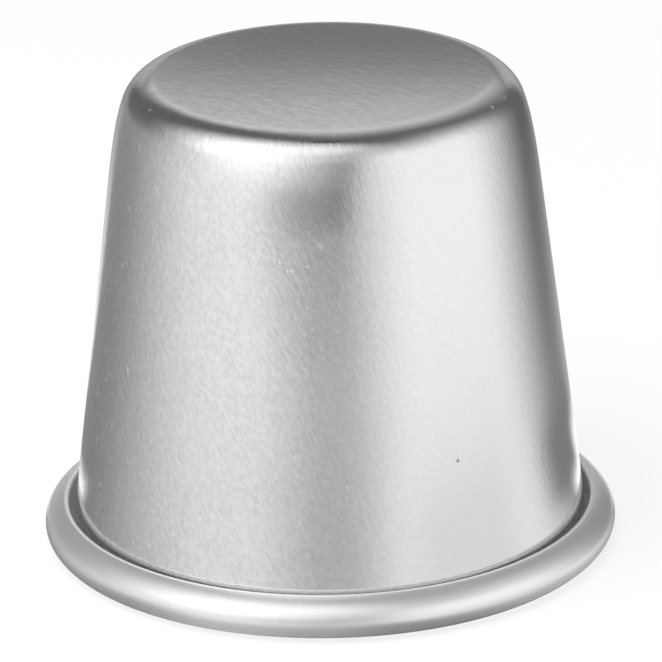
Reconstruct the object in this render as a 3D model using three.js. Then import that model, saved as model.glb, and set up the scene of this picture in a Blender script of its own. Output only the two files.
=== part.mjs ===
// Baba mould: a small tapered baking cup drawn from one sheet of aluminium.
// It stands mouth down on its rolled rim, with the flat base on top.
// Millimetres, +Z up, origin at the centre of the mouth on the surface it stands on.

import * as THREE from 'three';

// Driving dimensions
const RIM_DIAMETER = 70;
const HEIGHT = 59;
const BASE_FLAT_DIAMETER = 40;
const GAUGE = 0.8;

// Outside radius of the tight bend round the base, and of the shoulder that eases it into the wall
const BASE_CORNER_RADIUS = 4.4;
const SHOULDER_RADIUS = 26;
const SHOULDER_TURN = THREE.MathUtils.degToRad(11);

// Outside radius of the tight turn at the wall's foot, of the rolled rim and of its slower bending lip,
// with how far above level the roll and the lip end
const FOOT_RADIUS = 2;
const CURL_RADIUS = 2.25;
const CURL_END = THREE.MathUtils.degToRad(44);
const LIP_RADIUS = 5;
const LIP_END = THREE.MathUtils.degToRad(72);

// Facets round the axis, and the most that a facet may stand off the true bend
const FACETS = 72;
const CHORD_ERROR = 0.015;

const QUARTER_TURN = Math.PI / 2;
const cornerCentre = new THREE.Vector2(BASE_FLAT_DIAMETER / 2, HEIGHT - BASE_CORNER_RADIUS);
const curlCentre = new THREE.Vector2(RIM_DIAMETER / 2 - CURL_RADIUS, CURL_RADIUS);
const footCentre = new THREE.Vector2(curlCentre.x, FOOT_RADIUS);

// The straight wall touches the shoulder at one end and the hollow of the turn at its foot at the other.
// Its taper is the slope of that common tangent.
function wallTaper() {
  const across = footCentre.x - cornerCentre.x;
  const down = cornerCentre.y - footCentre.y;
  const easing = (SHOULDER_RADIUS - BASE_CORNER_RADIUS) * Math.cos(SHOULDER_TURN);
  const offset = FOOT_RADIUS - GAUGE + SHOULDER_RADIUS - easing;
  return Math.acos(offset / Math.hypot(across, down)) - Math.atan2(down, across);
}

// Points along one bend of the sheet, turning clockwise where the angle falls.
function bend(centre, radius, from, to) {
  const arc = new THREE.EllipseCurve(centre.x, centre.y, radius, radius, from, to, to < from);
  const stepAngle = 2 * Math.acos(1 - CHORD_ERROR / radius);
  return arc.getPoints(Math.ceil(Math.abs(to - from) / stepAngle));
}

// Bends that run into each other share the point where they meet.
function chain(...bends) {
  return bends.flatMap((points, i) => (i === 0 ? points : points.slice(1)));
}

// One face of the sheet from the axis to the free edge of the lip, at a depth in from the cup's outside.
// Round the base the inside face has the smaller radius, and round the rim the larger.
function sheetFace(depth) {
  const taper = wallTaper();
  const shoulderStart = taper + SHOULDER_TURN;
  const easing = SHOULDER_RADIUS - BASE_CORNER_RADIUS;
  const shoulderCentre = new THREE.Vector2(
    cornerCentre.x - easing * Math.cos(shoulderStart),
    cornerCentre.y - easing * Math.sin(shoulderStart),
  );
  const base = chain(
    bend(cornerCentre, BASE_CORNER_RADIUS - depth, QUARTER_TURN, shoulderStart),
    bend(shoulderCentre, SHOULDER_RADIUS - depth, shoulderStart, taper),
  );

  // The sheet turns out under the rim and rolls round its widest, and the lip leans back towards the wall.
  const opening = LIP_RADIUS - CURL_RADIUS;
  const lipCentre = new THREE.Vector2(
    curlCentre.x - opening * Math.cos(CURL_END),
    curlCentre.y - opening * Math.sin(CURL_END),
  );
  const rollRadius = CURL_RADIUS - GAUGE + depth;
  const rim = chain(
    bend(footCentre, FOOT_RADIUS - GAUGE + depth, 2 * QUARTER_TURN + taper, 3 * QUARTER_TURN),
    bend(curlCentre, rollRadius, 3 * QUARTER_TURN, 4 * QUARTER_TURN),
    bend(curlCentre, rollRadius, 4 * QUARTER_TURN, 4 * QUARTER_TURN + CURL_END),
    bend(lipCentre, rollRadius + opening, 4 * QUARTER_TURN + CURL_END, 4 * QUARTER_TURN + LIP_END),
  );

  return [new THREE.Vector2(0, HEIGHT - depth), ...base, ...rim];
}

// The sheet's section runs down the inside face, round the cut edge of the lip and back up the outside.
function mouldCup() {
  const section = [...sheetFace(GAUGE), ...sheetFace(0).reverse()];
  const geometry = new THREE.LatheGeometry(section, FACETS);
  geometry.rotateX(QUARTER_TURN);
  const aluminium = new THREE.MeshStandardMaterial({ color: 0xc8cacb, metalness: 1, roughness: 0.35 });
  const cup = new THREE.Mesh(geometry, aluminium);
  cup.name = 'mould_cup';
  return cup;
}

const babaMould = new THREE.Group();
babaMould.add(mouldCup());

export default babaMould;
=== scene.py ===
"""Baba mould in satin aluminium, mouth down on a pale floor, under plain studio light.

Lengths are in metres and angles in radians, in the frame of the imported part: +Z up, origin at the
centre of the mouth on the surface that the rolled rim stands on, +Y away from the camera.
"""

import math
from collections import namedtuple

import bmesh
import bpy
from mathutils import Matrix, Vector


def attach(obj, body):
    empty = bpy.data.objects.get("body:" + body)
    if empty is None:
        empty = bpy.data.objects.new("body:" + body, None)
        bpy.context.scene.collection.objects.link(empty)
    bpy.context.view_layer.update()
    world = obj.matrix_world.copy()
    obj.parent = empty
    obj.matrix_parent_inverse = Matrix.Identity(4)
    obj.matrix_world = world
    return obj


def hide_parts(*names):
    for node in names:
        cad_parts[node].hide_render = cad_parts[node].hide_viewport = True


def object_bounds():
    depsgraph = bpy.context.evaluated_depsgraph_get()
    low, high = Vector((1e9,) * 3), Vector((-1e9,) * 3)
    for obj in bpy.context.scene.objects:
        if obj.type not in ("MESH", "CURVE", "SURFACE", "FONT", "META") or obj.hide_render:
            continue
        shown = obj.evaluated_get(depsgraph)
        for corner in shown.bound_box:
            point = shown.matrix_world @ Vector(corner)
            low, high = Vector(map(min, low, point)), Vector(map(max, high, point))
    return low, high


bl_info = {
    "name": "Baba mould",
    "version": (1, 0, 0),
    "blender": (4, 5, 0),
    "location": "View3D > Sidebar > Baba mould",
    "description": "Builds a drawn aluminium baba mould with a rolled rim, and the studio it stands in",
    "category": "Add Mesh",
}

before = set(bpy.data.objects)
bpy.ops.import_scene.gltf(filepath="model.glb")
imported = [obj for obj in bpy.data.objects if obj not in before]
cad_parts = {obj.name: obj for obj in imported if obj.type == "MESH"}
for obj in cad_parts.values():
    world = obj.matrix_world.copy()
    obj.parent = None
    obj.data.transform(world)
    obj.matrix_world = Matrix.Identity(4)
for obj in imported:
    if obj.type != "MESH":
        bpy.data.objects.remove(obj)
CAD_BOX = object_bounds()
CAD_NODE = "mould_cup"
BODY = "root"

FULL_TURN = 2 * math.pi
QUARTER_TURN = math.pi / 2


# Sizes and colours that a user would change


def length_setting(name, description, default):
    """A length in metres that a user can change."""
    return bpy.props.FloatProperty(name=name, description=description, default=default, unit="LENGTH")


def angle_setting(name, description, degrees):
    """An angle that a user can change, with its default given in degrees."""
    default = math.radians(degrees)
    return bpy.props.FloatProperty(name=name, description=description, default=default, subtype="ANGLE")


def colour_setting(name, description, default):
    """A colour that a user can change."""
    return bpy.props.FloatVectorProperty(
        name=name, description=description, default=default, subtype="COLOR", size=3, min=0, max=1
    )


class MouldSizes(bpy.types.PropertyGroup):
    """Sizes of the drawn sheet."""

    rim_diameter: length_setting(
        "Rim diameter", "Across the outside of the rolled rim", CAD_BOX[1].x - CAD_BOX[0].x
    )
    height: length_setting(
        "Height", "From the bottom of the rim to the top of the base", CAD_BOX[1].z - CAD_BOX[0].z
    )
    base_flat_diameter: length_setting("Base flat", "Across the flat of the base", 0.040)
    gauge: length_setting("Gauge", "Thickness of the sheet", 0.0008)
    corner_radius: length_setting("Base corner", "Outside radius of the tight bend round the base", 0.0044)
    shoulder_radius: length_setting(
        "Shoulder", "Outside radius of the bend that eases the corner into the wall", 0.026
    )
    shoulder_turn: angle_setting("Shoulder turn", "Angle through which the shoulder bends", 8)
    ease_radius: length_setting(
        "Ease", "Outside radius of the slow bend between the shoulder and the straight wall", 0.090
    )
    ease_turn: angle_setting("Ease turn", "Angle through which the slow bend turns", 3.5)
    foot_radius: length_setting("Foot", "Outside radius of the tight turn at the wall's foot", 0.002)
    curl_radius: length_setting("Curl", "Outside radius of the rolled rim", 0.00225)
    curl_end: angle_setting("Curl end", "Angle above level at which the roll ends and the lip starts", 44)
    lip_radius: length_setting(
        "Lip", "Outside radius of the lip, which bends more slowly than the roll", 0.005
    )
    lip_end: angle_setting("Lip end", "Angle above level at which the lip ends in the cut edge", 72)
    lip_wander: angle_setting(
        "Lip wander", "How much further round the lip runs on one side than on the other", 4
    )
    edge_round: length_setting("Edge round", "Radius worn onto the two corners of the cut edge", 0.0003)
    edge_band: length_setting(
        "Edge band", "Width of the pale band that the trimming left along the lip", 0.00012
    )
    base_crown: length_setting(
        "Base crown", "How far the middle of the base stands above its edge", 0.00016
    )


class MetalColours(bpy.types.PropertyGroup):
    """Colours of the aluminium."""

    sheet: colour_setting("Sheet", "Satin outside of the cup", (0.97, 0.97, 0.97))
    dull: colour_setting("Dulled", "Sheet where handling has dulled it", (0.83, 0.83, 0.83))
    # Painted sheen: the rim's two tones are set above the sheet's so that the bead shows a brighter
    # highlight and lip.
    rim: colour_setting("Rim", "Rolled rim, rubbed bright by stacking", (1.0, 1.0, 1.0))
    rim_dull: colour_setting("Rim dulled", "Rolled rim between the rubbed spots", (0.93, 0.93, 0.93))
    cut_edge: colour_setting("Cut edge", "Bare metal on the trimmed edge of the lip", (0.95, 0.95, 0.95))
    # Painted shade: a near-black spot stands in for the shade at the bottom of a small pit, which has no
    # depth of its own.
    pit: colour_setting("Pit", "Bottom of the small pit in the wall", (0.03, 0.03, 0.03))


class StudioSettings(bpy.types.PropertyGroup):
    """Floor and camera."""

    floor_colour: colour_setting("Floor", "Colour of the floor and of the background", (1.0, 1.0, 1.0))
    camera_distance: length_setting(
        "Camera distance", "From the camera to the point that it looks at", 0.696
    )
    camera_elevation: angle_setting("Camera elevation", "Angle of the camera above level", 20.93)
    camera_roll: angle_setting("Camera roll", "Turn of the camera about its own line of sight", -0.976)
    camera_aim: bpy.props.FloatVectorProperty(
        name="Camera aim",
        description="Point that the camera looks at",
        subtype="XYZ",
        size=3,
        default=(0.000466, 0.0, 0.02605),
    )
    camera_lens: bpy.props.FloatProperty(
        name="Camera lens",
        description="Focal length in millimetres on a 36 mm wide sensor",
        default=311.2,
        unit="CAMERA",
    )


# The drawn sheet


def arc(centre, radius, start, end, step):
    """Points (r, z) along a bend, from one angle to another."""
    count = max(1, math.ceil(abs(end - start) / step))
    angles = [start + (end - start) * i / count for i in range(count + 1)]
    return [(centre[0] + radius * math.cos(a), centre[1] + radius * math.sin(a)) for a in angles]


def eased(centre, easing, angle):
    """Centre of a slower bend that carries on from a bend at an angle, its radius larger by the easing."""
    return (centre[0] - easing * math.cos(angle), centre[1] - easing * math.sin(angle))


def wall_taper(sizes, corner, foot):
    """Slope of the straight wall, which touches the slow bend above it and the turn at its foot."""
    across = foot[0] - corner[0]
    down = corner[1] - foot[1]
    both_turns = sizes.shoulder_turn + sizes.ease_turn
    shoulder = (sizes.shoulder_radius - sizes.corner_radius) * math.cos(both_turns)
    ease = (sizes.ease_radius - sizes.shoulder_radius) * math.cos(sizes.ease_turn)
    offset = sizes.foot_radius - sizes.gauge + sizes.ease_radius - shoulder - ease
    return math.acos(offset / math.hypot(across, down)) - math.atan2(down, across)


def curl_centre(sizes):
    """Centre of the rolled rim's bend."""
    return (sizes.rim_diameter / 2 - sizes.curl_radius, sizes.curl_radius)


def lip_centre(sizes):
    """Centre of the lip's slower bend."""
    return eased(curl_centre(sizes), sizes.lip_radius - sizes.curl_radius, sizes.curl_end)


SheetFace = namedtuple("SheetFace", "crown base rim band edge")


def sheet_face(sizes, depth):
    """One face of the sheet at a depth in from the cup's outside: the crowned base, its bends and the rim.

    band is the end of the rim next to the cut edge, and edge is where the two would meet in a sharp corner.
    """
    tight_step = math.radians(3)
    slow_step = math.radians(0.8)
    slowest_step = math.radians(0.3)
    crown_rings = 24
    crown_power = 2
    crown_slope = crown_power * sizes.base_crown / (sizes.base_flat_diameter / 2)
    crown_end = QUARTER_TURN - math.atan(crown_slope)

    corner = (sizes.base_flat_diameter / 2, sizes.height - sizes.base_crown - sizes.corner_radius)
    curl = curl_centre(sizes)
    foot = (curl[0], sizes.foot_radius)
    taper = wall_taper(sizes, corner, foot)
    ease_start = taper + sizes.ease_turn
    shoulder_start = ease_start + sizes.shoulder_turn
    shoulder = eased(corner, sizes.shoulder_radius - sizes.corner_radius, shoulder_start)
    ease = eased(shoulder, sizes.ease_radius - sizes.shoulder_radius, ease_start)
    base = arc(corner, sizes.corner_radius - depth, crown_end, shoulder_start, tight_step)
    base += arc(shoulder, sizes.shoulder_radius - depth, shoulder_start, ease_start, slow_step)[1:]
    base += arc(ease, sizes.ease_radius - depth, ease_start, taper, slowest_step)[1:]

    edge_r, edge_z = base[0]
    crown = []
    for i in range(crown_rings):
        share = i / crown_rings
        rise = crown_slope * edge_r / crown_power * (1 - share**crown_power)
        crown.append((edge_r * share, edge_z + rise))

    roll_radius = sizes.curl_radius - sizes.gauge + depth
    lip = lip_centre(sizes)
    lip_radius = sizes.lip_radius - sizes.gauge + depth
    lip_end = FULL_TURN + sizes.lip_end
    round_start = lip_end - sizes.edge_round / lip_radius
    band_start = round_start - sizes.edge_band / lip_radius
    rim = arc(foot, sizes.foot_radius - sizes.gauge + depth, math.pi + taper, 3 * QUARTER_TURN, tight_step)
    rim += arc(curl, roll_radius, 3 * QUARTER_TURN, FULL_TURN, tight_step)[1:]
    rim += arc(curl, roll_radius, FULL_TURN, FULL_TURN + sizes.curl_end, tight_step)[1:]
    rim += arc(lip, lip_radius, FULL_TURN + sizes.curl_end, band_start, slow_step)[1:-1]
    band = arc(lip, lip_radius, band_start, round_start, slow_step)
    edge = (lip[0] + lip_radius * math.cos(lip_end), lip[1] + lip_radius * math.sin(lip_end))
    return SheetFace(crown, base, rim, band, edge)


def between(start, end, count):
    """Points that divide a straight stretch, without its two ends."""
    return [
        (start[0] + (end[0] - start[0]) * i / count, start[1] + (end[1] - start[1]) * i / count)
        for i in range(1, count)
    ]


def cut_edge(sizes, bead_edge, hollow_edge):
    """The trimmed end of the lip, with both its corners worn round."""
    round_off = sizes.edge_round
    step = math.radians(15)
    along = (-math.sin(sizes.lip_end), math.cos(sizes.lip_end))
    across = ((hollow_edge[0] - bead_edge[0]) / sizes.gauge, (hollow_edge[1] - bead_edge[1]) / sizes.gauge)
    points = []
    for corner, inward in ((bead_edge, 1), (hollow_edge, -1)):
        centre = (
            corner[0] - along[0] * round_off + across[0] * round_off * inward,
            corner[1] - along[1] * round_off + across[1] * round_off * inward,
        )
        end_angle = math.atan2(along[1], along[0])
        from_angle = end_angle - QUARTER_TURN if inward == 1 else end_angle
        points += arc(centre, round_off, from_angle, from_angle + QUARTER_TURN, step)
    return points


Section = namedtuple("Section", "points finishes")
INSIDE, RIM, CUT_EDGE, HOLLOW, OUTSIDE = range(5)


def sheet_section(sizes):
    """The sheet's closed section from the axis down the inside, round the rim and back up the outside.

    finishes gives the finish of the face that follows each point.
    """
    inside = sheet_face(sizes, sizes.gauge)
    outside = sheet_face(sizes, 0)
    wall_rings = 40
    stretches = [
        (INSIDE, inside.crown),
        (INSIDE, inside.base),
        (INSIDE, between(inside.base[-1], inside.rim[0], wall_rings)),
        (RIM, inside.rim),
        (CUT_EDGE, inside.band),
        (CUT_EDGE, cut_edge(sizes, inside.edge, outside.edge)),
        (HOLLOW, outside.band[::-1]),
        (HOLLOW, outside.rim[::-1]),
        (OUTSIDE, between(outside.rim[0], outside.base[-1], wall_rings)),
        (OUTSIDE, outside.base[::-1]),
        (OUTSIDE, outside.crown[::-1]),
    ]
    points = [point for _, stretch in stretches for point in stretch]
    finishes = [finish for finish, stretch in stretches for _ in stretch]
    return Section(points, finishes)


def revolve(name, points, turns):
    """A mesh turned about +Z from points (r, z). A point on the axis becomes one vertex."""
    on_axis = 1e-9
    mesh = bpy.data.meshes.new(name)
    made = bmesh.new()
    rings = []
    for r, z in points:
        if r < on_axis:
            rings.append([made.verts.new((0, 0, z))] * turns)
            continue
        ring = []
        for i in range(turns):
            angle = FULL_TURN * i / turns
            ring.append(made.verts.new((r * math.sin(angle), -r * math.cos(angle), z)))
        rings.append(ring)
    for step, (lower, upper) in enumerate(zip(rings, rings[1:])):
        for i in range(turns):
            j = (i + 1) % turns
            corners = list(dict.fromkeys((lower[i], lower[j], upper[j], upper[i])))
            face = made.faces.new(corners)
            face.smooth = True
            face.material_index = step
    made.to_mesh(mesh)
    made.free()
    return mesh


def wandered(sizes, point):
    """Where a point of the cup lies once the drawn edge has wandered, which moves only the lip.

    The lip runs furthest round at the front right, and comes as near the wall there as it does anywhere.
    """
    furthest = math.radians(30)
    slack = 1e-5
    centre = lip_centre(sizes)
    reach = point.xy.length
    away = Vector((reach - centre[0], point.z - centre[1]))
    angle = math.atan2(away.y, away.x)
    in_sheet = sizes.lip_radius - sizes.gauge - slack < away.length < sizes.lip_radius + slack
    if not in_sheet or not sizes.curl_end < angle < sizes.lip_end + slack:
        return point
    along = (angle - sizes.curl_end) / (sizes.lip_end - sizes.curl_end)
    azimuth = math.atan2(point.x, -point.y)
    turn = sizes.lip_wander * along**2 * (1 + math.cos(azimuth - furthest)) / 2
    scale = (centre[0] + away.length * math.cos(angle + turn)) / reach
    return Vector((point.x * scale, point.y * scale, centre[1] + away.length * math.sin(angle + turn)))


class MOULD_OT_cup(bpy.types.Operator):
    """Draws the cup from one sheet, with its base, wall and open rolled rim"""

    bl_idname = "mould.cup"
    bl_label = "Drawn cup"

    def execute(self, context):
        turns = 288
        sizes = context.scene.mould_sizes
        section = sheet_section(sizes)
        mesh = revolve("drawn_cup", section.points, turns)
        for polygon in mesh.polygons:
            polygon.material_index = section.finishes[polygon.material_index]
        for vertex in mesh.vertices:
            vertex.co = wandered(sizes, vertex.co)
        for material in sheet_finishes(sizes, context.scene.mould_colours):
            mesh.materials.append(material)
        cup = bpy.data.objects.new("drawn_cup", mesh)
        context.scene.collection.objects.link(cup)
        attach(cup, BODY)
        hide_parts(CAD_NODE)
        return {"FINISHED"}


# Finishes


def add_node(tree, kind, inputs=None, **settings):
    """A node with its settings, and each input, by name or number, linked to a socket or set to a value."""
    node = tree.nodes.new(kind)
    for name, value in settings.items():
        setattr(node, name, value)
    for name, value in (inputs or {}).items():
        if isinstance(value, bpy.types.NodeSocket):
            tree.links.new(value, node.inputs[name])
        else:
            node.inputs[name].default_value = value
    return node


def math_node(tree, operation, first, second=0.0):
    """The result of a sum on two sockets or values."""
    return add_node(tree, "ShaderNodeMath", {0: first, 1: second}, operation=operation).outputs[0]


def vector_node(tree, operation, *vectors):
    """The result of a sum on one or two vectors."""
    node = add_node(tree, "ShaderNodeVectorMath", dict(enumerate(vectors)), operation=operation)
    return node.outputs["Value" if operation == "DISTANCE" else "Vector"]


def scaled(tree, vector, scale):
    """A vector times a number."""
    inputs = {0: vector, "Scale": scale}
    return add_node(tree, "ShaderNodeVectorMath", inputs, operation="SCALE").outputs[0]


# Numbers of the mix node's two inputs and of its output, by the kind of data that it mixes
MIX_SOCKETS = {"FLOAT": (2, 3, 0), "VECTOR": (4, 5, 1), "RGBA": (6, 7, 2)}


def mix(tree, kind, factor, first, second):
    """The first of two sockets or values where the factor is 0, and the second where it is 1."""
    first_input, second_input, result = MIX_SOCKETS[kind]
    inputs = {0: factor, first_input: first, second_input: second}
    return add_node(tree, "ShaderNodeMix", inputs, data_type=kind).outputs[result]


def remap(tree, value, low, high, to_low=0.0, to_high=1.0):
    """A value taken from one range to another along a smooth curve."""
    ranges = {"Value": value, "From Min": low, "From Max": high, "To Min": to_low, "To Max": to_high}
    return add_node(tree, "ShaderNodeMapRange", ranges, interpolation_type="SMOOTHSTEP").outputs["Result"]


def noise(tree, where, size, detail=2.0, rough=0.5):
    """Soft random values from 0 to 1, with spots of about the given size in metres."""
    settings = {"Vector": where, "Scale": 1.0 / size, "Detail": detail, "Roughness": rough}
    return add_node(tree, "ShaderNodeTexNoise", settings).outputs["Fac"]


def relief(tree, value, height):
    """A random value as relief: so many metres from its lowest to its highest."""
    return math_node(tree, "MULTIPLY", math_node(tree, "SUBTRACT", value, 0.5), height)


def new_group(name, inputs, outputs):
    """An empty node group with named inputs and outputs, and the sockets for both inside it."""
    tree = bpy.data.node_groups.new(name, "ShaderNodeTree")
    for socket in inputs:
        tree.interface.new_socket(socket, in_out="INPUT", socket_type="NodeSocketFloat")
    for socket in outputs:
        tree.interface.new_socket(socket, in_out="OUTPUT", socket_type="NodeSocketFloat")
    return tree, add_node(tree, "NodeGroupInput").outputs, add_node(tree, "NodeGroupOutput").inputs


def object_place(tree):
    """Where the shaded point lies on the mould."""
    return add_node(tree, "ShaderNodeTexCoord").outputs["Object"]


def turned(tree, vector, angle):
    """A vector turned about the mould's axis."""
    inputs = {"Vector": vector, "Angle": angle}
    return add_node(tree, "ShaderNodeVectorRotate", inputs, rotation_type="Z_AXIS").outputs[0]


def drawn_lines(tree, place, radius, stretch):
    """Coordinates that are long down the wall and lean round it, as the sheet was drawn."""
    lean_per_metre = 12.0
    apart = add_node(tree, "ShaderNodeSeparateXYZ", {"Vector": place}).outputs
    flat = add_node(tree, "ShaderNodeCombineXYZ", {"X": apart["X"], "Y": apart["Y"]}).outputs[0]
    ring = scaled(tree, vector_node(tree, "NORMALIZE", flat), radius)
    leaning = turned(tree, ring, math_node(tree, "MULTIPLY", apart["Z"], lean_per_metre))
    along = math_node(tree, "DIVIDE", apart["Z"], stretch)
    lifted = add_node(tree, "ShaderNodeCombineXYZ", {"Z": along}).outputs[0]
    return vector_node(tree, "ADD", leaning, lifted)


def brushed_lines(tree, place, stretch):
    """Coordinates that are long across the base, the way it was brushed, and coarser than the wall's."""
    brush_angle = math.radians(50)
    fineness = 0.6
    squeeze = (fineness / stretch, fineness, fineness)
    return vector_node(tree, "MULTIPLY", turned(tree, place, brush_angle), squeeze)


def above(tree, place, level):
    """1 on the part of the mould above a level, and 0 below it."""
    up = add_node(tree, "ShaderNodeSeparateXYZ", {"Vector": place}).outputs["Z"]
    return math_node(tree, "GREATER_THAN", up, level)


def rim_line(sizes):
    """Height at which the rim's grain gives way to the wall's, at the top of the lip."""
    radii_up = 2.3
    return radii_up * sizes.curl_radius


def base_line(sizes):
    """Height at which the wall's grain gives way to the base's, inside the corner's dark line."""
    below_top = 0.0005
    return sizes.height - below_top


def worked_lines(tree, place, sizes, stretch):
    """Coordinates that are long the way the metal was worked: drawn down the wall, and brushed on the base.

    The rolled rim has a finer grain of no direction.
    """
    rim_fineness = 1.5
    wall_radius_share = 0.42
    rim = scaled(tree, place, rim_fineness)
    wall = drawn_lines(tree, place, sizes.rim_diameter * wall_radius_share, stretch)
    base = brushed_lines(tree, place, stretch)
    sides = mix(tree, "VECTOR", above(tree, place, rim_line(sizes)), rim, wall)
    return mix(tree, "VECTOR", above(tree, place, base_line(sizes)), sides, base)


# How deep the fine grain is, in metres
GRAIN_DEPTHS = {"Rim Depth": 4e-6, "Wall Depth": 18e-6, "Base Depth": 7e-6}


def grain_group(sizes):
    """The relief of the satin sheet in metres: fine grain, long scratches and a slow unevenness."""
    grain_size, grain_stretch = 0.0006, 2.2
    line_size, line_stretch = 0.0002, 10.0
    scratch_from, scratch_to, scratch_depth = 0.64, 0.76, 2e-6
    uneven_size, uneven_depth = 0.006, 8e-6
    tree, depths, result = new_group("sheet_grain", GRAIN_DEPTHS, ["Height"])
    place = object_place(tree)
    on_wall = above(tree, place, rim_line(sizes))
    on_base = above(tree, place, base_line(sizes))
    sides = mix(tree, "FLOAT", on_wall, depths["Rim Depth"], depths["Wall Depth"])
    depth = mix(tree, "FLOAT", on_base, sides, depths["Base Depth"])
    grain = relief(tree, noise(tree, worked_lines(tree, place, sizes, grain_stretch), grain_size), depth)
    lines = noise(tree, worked_lines(tree, place, sizes, line_stretch), line_size, detail=1.0)
    scratches = remap(tree, lines, scratch_from, scratch_to, 0.0, -scratch_depth)
    uneven = relief(tree, noise(tree, place, uneven_size, detail=1.0), uneven_depth)
    height = math_node(tree, "ADD", math_node(tree, "ADD", grain, scratches), uneven)
    tree.links.new(height, result["Height"])
    return tree


# How far the sheet is worn towards +X and towards -X, from 0 to 1
WEAR_SIDES = {"Clean Side": 0.25, "Worn Side": 1.0}


def wear_group(sizes):
    """How far handling has dulled the sheet, and where pale flecks lie on it, both from 0 to 1."""
    clean_from, worn_from = 0.016, -0.008
    patch_size, patch_from, patch_to, patch_least = 0.005, 0.34, 0.66, 0.75
    mottle_size, mottle_stretch, mottle_from, mottle_to = 0.0005, 1.5, 0.30, 0.70
    cloud_size, cloud_from, cloud_to, cloud_most = 0.012, 0.40, 0.66, 0.08
    fleck_size, fleck_stretch, fleck_from, fleck_to = 0.0005, 2.0, 0.64, 0.80
    ragged = 0.6
    tree, wear, result = new_group("handling_wear", WEAR_SIDES, ["Dulled", "Flecked"])
    place = object_place(tree)
    across = add_node(tree, "ShaderNodeSeparateXYZ", {"Vector": place}).outputs["X"]
    side = remap(tree, across, clean_from, worn_from, wear["Clean Side"], wear["Worn Side"])
    patches = remap(tree, noise(tree, place, patch_size), patch_from, patch_to, patch_least, 1.0)
    worn = math_node(tree, "MULTIPLY", side, patches)
    mottle_lines = worked_lines(tree, place, sizes, mottle_stretch)
    mottle = remap(tree, noise(tree, mottle_lines, mottle_size, rough=ragged), mottle_from, mottle_to)
    cloudy = noise(tree, place, cloud_size, detail=3.0, rough=ragged)
    clouds = remap(tree, cloudy, cloud_from, cloud_to, 0.0, cloud_most)
    dulled = math_node(tree, "ADD", math_node(tree, "MULTIPLY", mottle, worn), clouds)
    tree.links.new(dulled, result["Dulled"])
    fleck_lines = worked_lines(tree, place, sizes, fleck_stretch)
    flecks = remap(tree, noise(tree, fleck_lines, fleck_size, detail=1.0), fleck_from, fleck_to)
    corner = above(tree, place, sizes.height - sizes.corner_radius)
    below_corner = math_node(tree, "SUBTRACT", 1.0, corner)
    flecked = math_node(tree, "MULTIPLY", math_node(tree, "MULTIPLY", flecks, worn), below_corner)
    tree.links.new(flecked, result["Flecked"])
    return tree


Mark = namedtuple("Mark", "azimuth height size")

# Small dents that catch the light: degrees round from the camera's side, then metres
DENTS = (
    Mark(-21, 0.0460, 0.00020),
    Mark(-22, 0.0450, 0.00015),
    Mark(-22, 0.0445, 0.00020),
    Mark(-19, 0.0450, 0.00015),
    Mark(-31, 0.0485, 0.00015),
    Mark(-32, 0.0480, 0.00010),
    Mark(-12, 0.0445, 0.00015),
    Mark(-10, 0.0435, 0.00015),
    Mark(-9, 0.0435, 0.00015),
    Mark(-5, 0.0440, 0.00015),
    Mark(-15, 0.0155, 0.00015),
    Mark(-24, 0.0125, 0.00015),
    Mark(72, 0.0580, 0.00020),
    Mark(62, 0.0580, 0.00020),
    Mark(-65, 0.0580, 0.00015),
)
# Where the pit's painted shade lies; the pit is not sunk into the relief.
PIT = Mark(31, 0.0190, 0.00015)


def outside_radius(sizes, height):
    """How far out the cup's outside stands at a height between its corner and its foot."""
    face = sheet_face(sizes, 0)
    points = face.base + face.rim[:1]
    for (upper_r, upper_z), (lower_r, lower_z) in zip(points, points[1:]):
        if lower_z <= height <= upper_z:
            return upper_r + (lower_r - upper_r) * (upper_z - height) / (upper_z - lower_z)
    raise ValueError("no wall at that height")


def mark_mask(tree, place, sizes, mark):
    """1 in the middle of a mark, falling to 0 at twice its size."""
    turn = math.radians(mark.azimuth)
    radius = outside_radius(sizes, mark.height)
    middle = (radius * math.sin(turn), -radius * math.cos(turn), mark.height)
    return remap(tree, vector_node(tree, "DISTANCE", place, middle), 2 * mark.size, 0.0)


def ragged_place(tree):
    """Where the shaded point lies, shaken a little so that round marks come out uneven."""
    shake = 0.0002
    shake_size = 0.0004
    place = object_place(tree)
    settings = {"Vector": place, "Scale": 1.0 / shake_size, "Detail": 1.0}
    spread = add_node(tree, "ShaderNodeTexNoise", settings).outputs["Color"]
    centred = vector_node(tree, "SUBTRACT", spread, (0.5, 0.5, 0.5))
    return vector_node(tree, "ADD", place, scaled(tree, centred, shake))


def metal(name, roughness, metallic=1.0):
    """An aluminium material and its shader. A metallic share under 1 is a dull skin that scatters light."""
    material = bpy.data.materials.new(name)
    material.use_nodes = True
    shader = material.node_tree.nodes["Principled BSDF"]
    shader.inputs["Metallic"].default_value = metallic
    shader.inputs["Roughness"].default_value = roughness
    return material, shader


def add_wear(tree, shader, wear, tones, smooth, matt, scatter, marks=0.0):
    """Colour and roughness that follow the wear, and flecks and marks that scatter so much of the light.

    The tones are clean and dulled, and the result is the colour's socket.
    """
    worn = add_node(tree, "ShaderNodeGroup", WEAR_SIDES, node_tree=wear).outputs
    flecked = math_node(tree, "ADD", worn["Flecked"], marks)
    bare = shader.inputs["Metallic"].default_value
    shares = {"Value": flecked, "To Min": bare, "To Max": bare - scatter}
    shine = add_node(tree, "ShaderNodeMapRange", shares)
    tree.links.new(shine.outputs["Result"], shader.inputs["Metallic"])
    clean, dull = tones
    colour = mix(tree, "RGBA", worn["Dulled"], (*clean, 1.0), (*dull, 1.0))
    tree.links.new(colour, shader.inputs["Base Color"])
    rough = add_node(tree, "ShaderNodeMapRange", {"Value": worn["Dulled"], "To Min": smooth, "To Max": matt})
    tree.links.new(rough.outputs["Result"], shader.inputs["Roughness"])
    return colour


def sheet_grain(tree, grain):
    """Height of the sheet's grain, in metres."""
    return add_node(tree, "ShaderNodeGroup", GRAIN_DEPTHS, node_tree=grain).outputs["Height"]


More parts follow.
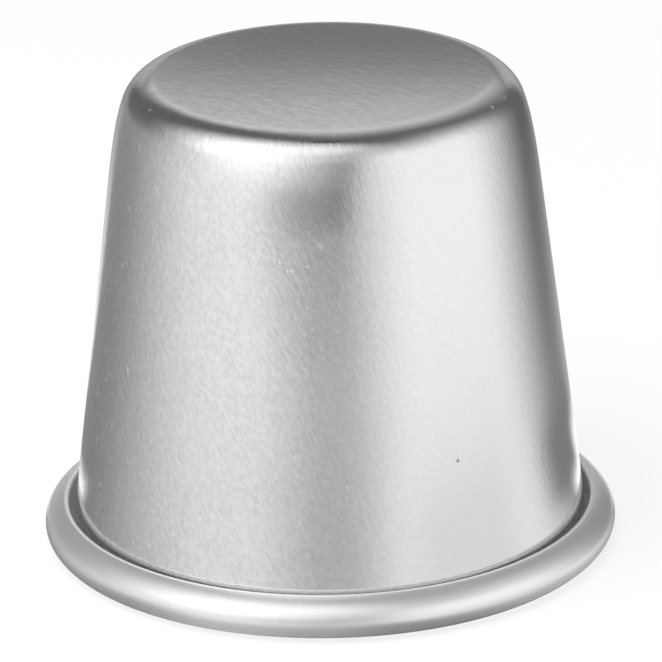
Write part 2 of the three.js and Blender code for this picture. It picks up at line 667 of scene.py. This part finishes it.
def add_relief(tree, shader, height):
    """Relief in metres on the shader's normal."""
    bump = add_node(tree, "ShaderNodeBump", {"Strength": 1.0, "Distance": 1.0, "Height": height})
    tree.links.new(bump.outputs["Normal"], shader.inputs["Normal"])


def outside_metal(sizes, colours, grain, wear):
    """The satin outside, with the dents of one used mould, and a small pit whose shade is painted as a
    near-black spot.
    """
    smooth, matt, scatter = 0.11, 0.15, 0.25
    dent_depth = 25e-6
    material, shader = metal("aluminium_outside", smooth)
    tree = material.node_tree
    place = ragged_place(tree)
    dents = 0.0
    for dent in DENTS:
        dents = math_node(tree, "MAXIMUM", dents, mark_mask(tree, place, sizes, dent))
    colour = add_wear(tree, shader, wear, (colours.sheet, colours.dull), smooth, matt, scatter, dents)
    # Painted shade: the pit's near-black spot mixed into the colour.
    pit_shaded = mix(tree, "RGBA", mark_mask(tree, place, sizes, PIT), colour, (*colours.pit, 1.0))
    tree.links.new(pit_shaded, shader.inputs["Base Color"])
    sunk = math_node(tree, "MULTIPLY", dents, -dent_depth)
    add_relief(tree, shader, math_node(tree, "ADD", sheet_grain(tree, grain), sunk))
    return material


def plain_metal(name, tones, grain, wear, smooth, matt, metallic=1.0, scatter=0.1):
    """Sheet with its grain and wear alone. Its tones are clean and dulled."""
    material, shader = metal(name, smooth, metallic)
    tree = material.node_tree
    add_wear(tree, shader, wear, tones, smooth, matt, scatter)
    add_relief(tree, shader, sheet_grain(tree, grain))
    return material


def cut_metal(colours):
    """Bare metal on the trimmed edge, torn by the cutter so that it scatters light."""
    tear_size, tear_depth = 0.00025, 8e-6
    material, shader = metal("aluminium_cut_edge", roughness=0.4, metallic=0.5)
    shader.inputs["Base Color"].default_value = (*colours.cut_edge, 1.0)
    tree = material.node_tree
    torn = noise(tree, object_place(tree), tear_size, detail=1.0)
    add_relief(tree, shader, relief(tree, torn, tear_depth))
    return material


def sheet_finishes(sizes, colours):
    """Materials in the order of the section's finishes."""
    grain = grain_group(sizes)
    wear = wear_group(sizes)
    sheet = (colours.sheet, colours.dull)
    # The rim's brighter tones paint sheen on the bead.
    rim = (colours.rim, colours.rim_dull)
    return (
        plain_metal("aluminium_inside", sheet, grain, wear, smooth=0.26, matt=0.38),
        plain_metal("aluminium_rim", rim, grain, wear, smooth=0.28, matt=0.31, metallic=0.78, scatter=0.2),
        cut_metal(colours),
        plain_metal("aluminium_hollow", sheet, grain, wear, smooth=0.50, matt=0.60, metallic=0.3),
        outside_metal(sizes, colours, grain, wear),
    )


# Studio


Softbox = namedtuple("Softbox", "azimuth elevation azimuth_fade elevation_fade lean glow")

# What stands round the mould for its metal to reflect, each over those before it. Angles are in degrees as
# seen from the mould: azimuth from the camera's side towards +X, and elevation up from level. A fade is how
# softly each edge ends, and lean is how far a box shifts round for each degree up. A box that starts at
# DOWN, lower than the surround reaches, goes on to the mould's foot.
DOWN = -120
SOFTBOXES = {
    "left_back_floor": Softbox((-160, -135), (DOWN, 5), (5, 90), (1, 10), 0.0, 0.35),
    "back_floor": Softbox((160, 210), (DOWN, -10), (90, 5), (1, 15), 0.0, 1.1),
    "back_paper": Softbox((155, 200), (-5, 19), (10, 10), (20, 5), 0.0, 0.4),
    "back_wall": Softbox((170, 200), (21, 60), (60, 30), (5, 50), -0.2, 0.65),
    "back_gap": Softbox((170, 185), (15, 22), (20, 5), (20, 5), 0.0, 0.1),
    "left_floor": Softbox((-105, -10), (DOWN, 10), (90, 5), (1, 30), -0.5, 0.75),
    "front_floor": Softbox((-20, 40), (DOWN, 35), (40, 5), (1, 40), 0.0, 0.45),
    "camera_side": Softbox((-30, 15), (-2, 30), (35, 20), (10, 25), 0.3, 0.1),
    "left_softbox": Softbox((-80, -5), (10, 75), (90, 90), (50, 50), -0.3, 1.5),
    "front_softbox": Softbox((-80, 0), (50, 80), (50, 90), (50, 50), 0.5, 1.2),
    "right_panel": Softbox((25, 110), (DOWN, 50), (45, 60), (1, 50), 0.0, 0.9),
    "right_floor": Softbox((35, 90), (DOWN, -10), (30, 30), (1, 15), 0.0, 0.7),
    # Painted shade on the floor near the rim, at the front right and at the left, as the metal sees it.
    "right_near_floor_shade": Softbox((10, 85), (DOWN, -45), (30, 40), (1, 10), 0.0, 0.2),
    "left_near_floor_shade": Softbox((-130, -60), (DOWN, -35), (30, 30), (1, 10), 0.0, 0.3),
    "right_back_shade": Softbox((110, 140), (-25, -15), (20, 10), (5, 5), 0.0, 0.2),
    "right_rim_floor": Softbox((135, 170), (DOWN, -20), (10, 10), (1, 5), 0.0, 1.1),
    "left_rim_floor": Softbox((-170, -140), (DOWN, -25), (10, 10), (1, 5), 0.0, 0.9),
    "right_ring_floor": Softbox((125, 140), (-35, -25), (10, 10), (10, 5), 0.0, 1.4),
    "left_ring_floor": Softbox((-140, -125), (-35, -25), (10, 10), (10, 5), 0.0, 1.3),
}
SURROUND_GLOW = 0.12


def smooth_edge(value, fade):
    """0 below minus half a fade, 1 above plus half of it, and smooth between."""
    t = min(1.0, max(0.0, value / fade + 0.5))
    return t * t * (3 - 2 * t)


def studio_glow(azimuth, elevation):
    """Brightness of the surround in one direction, in degrees."""
    glow = SURROUND_GLOW
    for box in SOFTBOXES.values():
        middle = sum(box.azimuth) / 2
        half = (box.azimuth[1] - box.azimuth[0]) / 2
        off = (azimuth - box.lean * elevation - middle + 180) % 360 - 180
        across = smooth_edge(half + off, box.azimuth_fade[0]) * smooth_edge(half - off, box.azimuth_fade[1])
        up = smooth_edge(elevation - box.elevation[0], box.elevation_fade[0])
        down = smooth_edge(box.elevation[1] - elevation, box.elevation_fade[1])
        glow += (box.glow - glow) * across * up * down
    return glow


def seen_directly(tree):
    """1 for rays from the camera, or by way of metal or glass, and 0 for the rays that light the scene."""
    rays = add_node(tree, "ShaderNodeLightPath").outputs
    mirrored = math_node(tree, "MAXIMUM", rays["Is Glossy Ray"], rays["Is Transmission Ray"])
    return math_node(tree, "MAXIMUM", rays["Is Camera Ray"], mirrored)


def empty_material(name):
    """A material without nodes, and its tree."""
    material = bpy.data.materials.new(name)
    material.use_nodes = True
    material.node_tree.nodes.clear()
    return material, material.node_tree


def make_floor(scene, colour):
    """A pale floor that is white to the camera and keeps the mould's soft shadow."""
    half = 2.0
    shadow_share = 0.25
    mesh = bpy.data.meshes.new("floor")
    corners = [(-half, -half, 0), (half, -half, 0), (half, half, 0), (-half, half, 0)]
    mesh.from_pydata(corners, [], [(0, 1, 2, 3)])
    material, tree = empty_material("floor_paper")
    paper = add_node(tree, "ShaderNodeBsdfDiffuse", {"Color": (*colour, 1.0)})
    white = add_node(tree, "ShaderNodeEmission", {"Color": (*colour, 1.0), "Strength": 1.0})
    share = math_node(tree, "MULTIPLY", seen_directly(tree), 1.0 - shadow_share)
    mixed = add_node(tree, "ShaderNodeMixShader", {0: share, 1: paper.outputs[0], 2: white.outputs[0]})
    add_node(tree, "ShaderNodeOutputMaterial", {"Surface": mixed.outputs[0]})
    mesh.materials.append(material)
    floor = bpy.data.objects.new("floor", mesh)
    scene.collection.objects.link(floor)


def contact_shade(reach):
    """Share of the floor's light that is left so far from the mould's axis, in the shade round the rim."""
    rim_edge, clear = 0.035, 0.041
    darkest = 0.45
    return darkest + (1 - darkest) * smooth_edge(reach - (rim_edge + clear) / 2, clear - rim_edge)


def surround_mesh():
    """A shell from the floor under the rim to overhead, with its brightness kept on each point."""
    radius = 0.5
    rim_edge = 0.033
    floor_gap = 0.0003
    centre = Vector((0.0, -0.016, 0.025))
    drop = centre.z - floor_gap
    turn_step = 2
    rise_steps = 100
    made = bmesh.new()
    glow_layer = made.verts.layers.float.new("glow")
    columns = []
    for azimuth in range(-180, 180, turn_step):
        turn = math.radians(azimuth)
        way = Vector((math.sin(turn), -math.cos(turn), 0.0))
        along = -centre.y * way.y
        start = along + math.sqrt(along * along + rim_edge * rim_edge - centre.y * centre.y)
        lowest = -math.atan(drop / start)
        column = []
        for i in range(rise_steps + 1):
            slope = lowest + (QUARTER_TURN - lowest) * i / rise_steps
            reach = radius
            if slope < 0:
                reach = min(radius, drop / math.sin(-slope))
            offset = way * (reach * math.cos(slope)) + Vector((0.0, 0.0, reach * math.sin(slope)))
            vertex = made.verts.new(centre + offset)
            glow = studio_glow(azimuth, math.degrees(slope))
            vertex[glow_layer] = glow * contact_shade(vertex.co.xy.length)
            column.append(vertex)
        columns.append(column)
    for left, right in zip(columns, columns[1:] + columns[:1]):
        for i in range(rise_steps):
            made.faces.new((left[i], left[i + 1], right[i + 1], right[i]))
    mesh = bpy.data.meshes.new("surround")
    made.to_mesh(mesh)
    made.free()
    return mesh


def surround_light():
    """A material that only glows, as brightly as each point of the surround says."""
    material, tree = empty_material("surround_glow")
    glow = add_node(tree, "ShaderNodeAttribute", attribute_name="glow")
    emission = add_node(tree, "ShaderNodeEmission", {"Strength": glow.outputs["Fac"]})
    add_node(tree, "ShaderNodeOutputMaterial", {"Surface": emission.outputs[0]})
    material.cycles.emission_sampling = "NONE"
    return material


def make_surround(scene):
    """The softboxes, panels and dark cloth round the mould, which show in its metal and nowhere else."""
    mesh = surround_mesh()
    mesh.materials.append(surround_light())
    surround = bpy.data.objects.new("surround", mesh)
    scene.collection.objects.link(surround)
    surround.visible_camera = False
    surround.visible_diffuse = False
    surround.visible_shadow = False
    surround.visible_transmission = False


def make_lamp(scene):
    """One large soft lamp overhead, for the floor and the mould's shadow."""
    light = bpy.data.lights.new("overhead", "AREA")
    light.shape = "DISK"
    light.size = 0.6
    light.energy = 3.5
    lamp = bpy.data.objects.new("overhead", light)
    lamp.location = (-0.25, -0.2, 0.7)
    lamp.rotation_euler = (-lamp.location).to_track_quat("-Z", "Y").to_euler()
    lamp.visible_glossy = False
    lamp.visible_camera = False
    scene.collection.objects.link(lamp)


def make_world(scene, colour):
    """White to the camera and in the metal, and a soft fill for the floor."""
    fill = 0.6
    world = bpy.data.worlds.new("studio")
    world.use_nodes = True
    tree = world.node_tree
    background = tree.nodes["Background"]
    background.inputs["Color"].default_value = (*colour, 1.0)
    shares = {"Value": seen_directly(tree), "To Min": fill, "To Max": 1.0}
    strength = add_node(tree, "ShaderNodeMapRange", shares)
    tree.links.new(strength.outputs["Result"], background.inputs["Strength"])
    scene.world = world


def make_camera(scene, studio):
    """The camera at the photograph's angle."""
    elevation = studio.camera_elevation
    back = Vector((0.0, -math.cos(elevation), math.sin(elevation)))
    data = bpy.data.cameras.new("camera")
    data.sensor_width = 36.0
    data.lens = studio.camera_lens
    data.clip_start = 0.01
    camera = bpy.data.objects.new("camera", data)
    facing = (-back).to_track_quat("-Z", "Y").to_matrix().to_4x4()
    roll = Matrix.Rotation(studio.camera_roll, 4, "Z")
    stand = Vector(studio.camera_aim) + back * studio.camera_distance
    camera.matrix_world = Matrix.Translation(stand) @ facing @ roll
    scene.collection.objects.link(camera)
    scene.camera = camera


class MOULD_OT_stage(bpy.types.Operator):
    """Sets the floor, the softboxes round the mould, the lamp, the background and the camera"""

    bl_idname = "mould.stage"
    bl_label = "Studio"

    def execute(self, context):
        scene = context.scene
        studio = scene.mould_studio
        scene.view_settings.view_transform = "Standard"
        make_floor(scene, studio.floor_colour)
        make_surround(scene)
        make_lamp(scene)
        make_world(scene, studio.floor_colour)
        make_camera(scene, studio)
        return {"FINISHED"}


class MOULD_PT_sidebar(bpy.types.Panel):
    """Lists the mould's pieces, sizes and colours in the sidebar"""

    bl_idname = "MOULD_PT_sidebar"
    bl_label = "Baba mould"
    bl_space_type = "VIEW_3D"
    bl_region_type = "UI"
    bl_category = "Baba mould"

    def draw(self, context):
        scene = context.scene
        for operator in (MOULD_OT_cup, MOULD_OT_stage):
            self.layout.operator(operator.bl_idname)
        for group in (scene.mould_sizes, scene.mould_colours, scene.mould_studio):
            box = self.layout.box()
            for name in group.__annotations__:
                box.prop(group, name)


CLASSES = (MouldSizes, MetalColours, StudioSettings, MOULD_OT_cup, MOULD_OT_stage, MOULD_PT_sidebar)


def register():
    for cls in CLASSES:
        bpy.utils.register_class(cls)
    bpy.types.Scene.mould_sizes = bpy.props.PointerProperty(type=MouldSizes)
    bpy.types.Scene.mould_colours = bpy.props.PointerProperty(type=MetalColours)
    bpy.types.Scene.mould_studio = bpy.props.PointerProperty(type=StudioSettings)


def unregister():
    del bpy.types.Scene.mould_studio
    del bpy.types.Scene.mould_colours
    del bpy.types.Scene.mould_sizes
    for cls in reversed(CLASSES):
        bpy.utils.unregister_class(cls)


def main():
    register()
    bpy.ops.mould.cup()
    bpy.ops.mould.stage()


if __name__ == "__main__":
    main()
